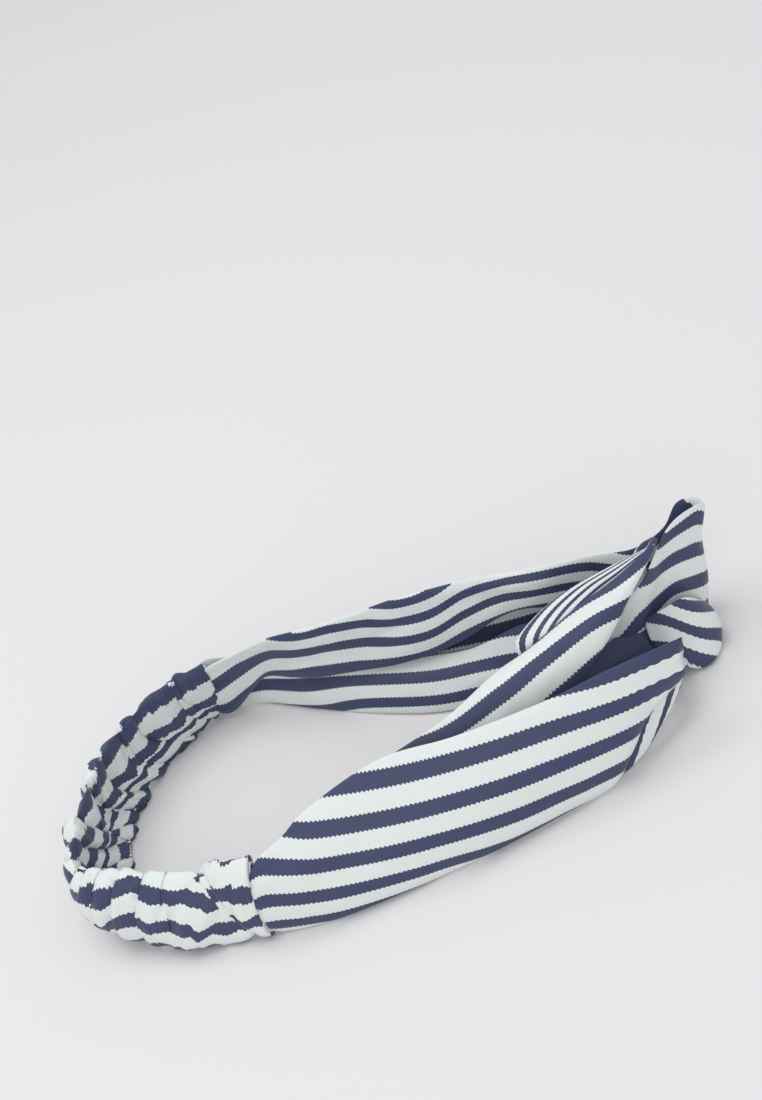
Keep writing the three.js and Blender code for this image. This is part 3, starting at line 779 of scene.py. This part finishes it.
def cotton_thread():
    """White sewing thread: fibres that follow its twist, with painted shade greying the hollows between
    its plies.
    """
    material, nodes, links = node_tree("sewing_thread")
    sums = Sums(nodes, links)
    cloth, along, round_it = cloth_coordinates(nodes, links)
    twist = sums.math("SUBTRACT", round_it, sums.math("MULTIPLY", along, THREAD_TWIST))
    plies = sums.math("ABSOLUTE", sums.math("COSINE", twist))
    fibre = sums.noise(cloth, 6.0, 4.0)
    # painted shade between the plies, plus random fibre tone; the same mix also makes the bump
    fibre_and_shade = sums.math("ADD", sums.math("MULTIPLY", plies, 0.7), sums.math("MULTIPLY", fibre, 0.3))
    colour = sums.mix(fibre_and_shade, THREAD_PAINTED_SHADE, THREAD_WHITE)
    finish_fabric(sums, colour, fibre_and_shade, 0.00005, sums.spread(fibre, 0.2, 0.8, 0.65, 0.85), 0.1)
    return material


satin = striped_satin()
webbing = woven_elastic()
cotton = cotton_thread()


# ---------------------------------------------------------------- pieces
NEAR_MOUTH = len(SLEEVE) - 1   # the sleeve's station at the near join; the far one is station 0
FAR_MOUTH = 0


def dress(obj, material, node, stretches=False):
    """Gives a piece its material, attaches it to the twisted_front body unless it stretches, when its
    transform is baked into its mesh, and hides the CAD node it stands in for.
    """
    obj.data.materials.append(material)
    if stretches:
        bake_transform(obj)
    else:
        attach(obj, "twisted_front")
    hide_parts(node)


def near_loop_folds():
    corner = {"reach": corner_reach, "rounded_end": 2.0}
    yield loop_cloth("near_loop_outer_fold", NEAR_OUTER, creases(0.5, 3, ("start",), 0.5), **corner)
    yield loop_cloth("near_loop_turn", NEAR_TURN, creases(0.45, 7, ("end",), 0.5))
    yield loop_cloth("near_loop_inner_fold", NEAR_INNER, creases(1.6, 29))
    yield loop_cloth("near_loop_pleat", NEAR_PLEAT, creases(0.3, 11), across=30)


def far_loop_folds():
    sewn = creases(0.8, 15, ("start", "end"), 0.6)
    yield loop_cloth("far_loop_cloth", FAR_LOOP, sewn, matched=True)
    yield loop_cloth("far_loop_foot", FAR_FOOT, creases(0.4, 19), matched=True)
    yield loop_cloth("far_loop_lining", FAR_LINING, creases(0.3, 23))


for fold in near_loop_folds():
    dress(fold, satin, "near_loop")
for fold in far_loop_folds():
    dress(fold, satin, "far_loop")

near_join = join_stitches("near_join_thread", NEAR_MOUTH, 1)
far_join = join_stitches("far_join_thread", FAR_MOUTH, -1)
dress(near_join, cotton, "near_join_stitches")
dress(far_join, cotton, "far_join_stitches")

sleeve = sleeve_cloth("sleeve_cloth")
elastic = elastic_strip("elastic_webbing")
seam = seam_thread("sleeve_seam")
far_tack = elastic_tack("far_tack", FAR_MOUTH + 0.2, 1)
near_tack = elastic_tack("near_tack", NEAR_MOUTH - 0.2, -1)
dress(sleeve, satin, "elastic_sleeve", stretches=True)
dress(elastic, webbing, "elastic_strip", stretches=True)
dress(seam, cotton, "sleeve_seam_thread", stretches=True)
dress(far_tack, cotton, "far_elastic_tack", stretches=True)
dress(near_tack, cotton, "near_elastic_tack", stretches=True)


# ---------------------------------------------------------------- floor, light and camera
FLOOR_REACH = 3.0
FLOOR_COLOUR = (0.80, 0.785, 0.79, 1)
SKY_COLOUR = (0.98, 0.985, 1.0, 1)
SKY_STRENGTH = 0.70
CENTRE = (0, 0, 0)


def plain(name, colour, roughness):
    material, nodes, links = node_tree(name)
    shader = nodes.new("ShaderNodeBsdfPrincipled")
    shader.inputs["Base Color"].default_value = colour
    shader.inputs["Roughness"].default_value = roughness
    out = nodes.new("ShaderNodeOutputMaterial")
    links.new(shader.outputs[0], out.inputs[0])
    return material


def floor():
    mesh = bpy.data.meshes.new("floor")
    r = FLOOR_REACH
    mesh.from_pydata([(-r, -r, 0), (r, -r, 0), (r, r, 0), (-r, r, 0)], [], [(0, 1, 2, 3)])
    obj = bpy.data.objects.new("floor", mesh)
    bpy.context.scene.collection.objects.link(obj)
    mesh.materials.append(plain("pale_floor", FLOOR_COLOUR, 0.9))


def area_light(name, place, size, power):
    """A round soft light that points at the middle of the band."""
    data = bpy.data.lights.new(name, "AREA")
    data.shape = "DISK"
    data.size = size
    data.energy = power
    obj = bpy.data.objects.new(name, data)
    obj.location = place
    obj.rotation_euler = (Vector(CENTRE) - Vector(place)).to_track_quat("-Z", "Y").to_euler()
    bpy.context.scene.collection.objects.link(obj)


def sky():
    world = bpy.data.worlds.new("studio")
    world.use_nodes = True
    background = world.node_tree.nodes["Background"]
    background.inputs[0].default_value = SKY_COLOUR
    background.inputs[1].default_value = SKY_STRENGTH
    bpy.context.scene.world = world


ELEVATION = math.radians(37)
ROLL = math.radians(25.6)
DISTANCE = 0.70
LENS = 76.4
AIM = to_frame((0, 0, 20))
AIM_LEFT = 0.0027        # the band sits low and a little to the right of the picture's middle
AIM_ABOVE = 0.0516


def camera():
    back = Vector((0, -math.cos(ELEVATION), math.sin(ELEVATION)))
    level_right = Vector((1, 0, 0))
    level_up = back.cross(level_right)
    right = level_right * math.cos(ROLL) - level_up * math.sin(ROLL)
    up = level_right * math.sin(ROLL) + level_up * math.cos(ROLL)
    aim = Vector(AIM) - right * AIM_LEFT + up * AIM_ABOVE
    data = bpy.data.cameras.new("camera")
    data.lens = LENS
    data.sensor_width = 36
    obj = bpy.data.objects.new("camera", data)
    turn = Matrix((right, up, back)).transposed().to_4x4()
    obj.matrix_world = Matrix.Translation(aim + back * DISTANCE) @ turn
    bpy.context.scene.collection.objects.link(obj)
    bpy.context.scene.camera = obj


floor()
area_light("key", (-0.22, 0.10, 0.95), 0.8, 3.1)
sky()
area_light("fill", (-0.25, -1.3, 0.75), 1.2, 4.2)
camera()
bpy.context.scene.view_settings.view_transform = "Standard"

bpy.context.view_layer.update()
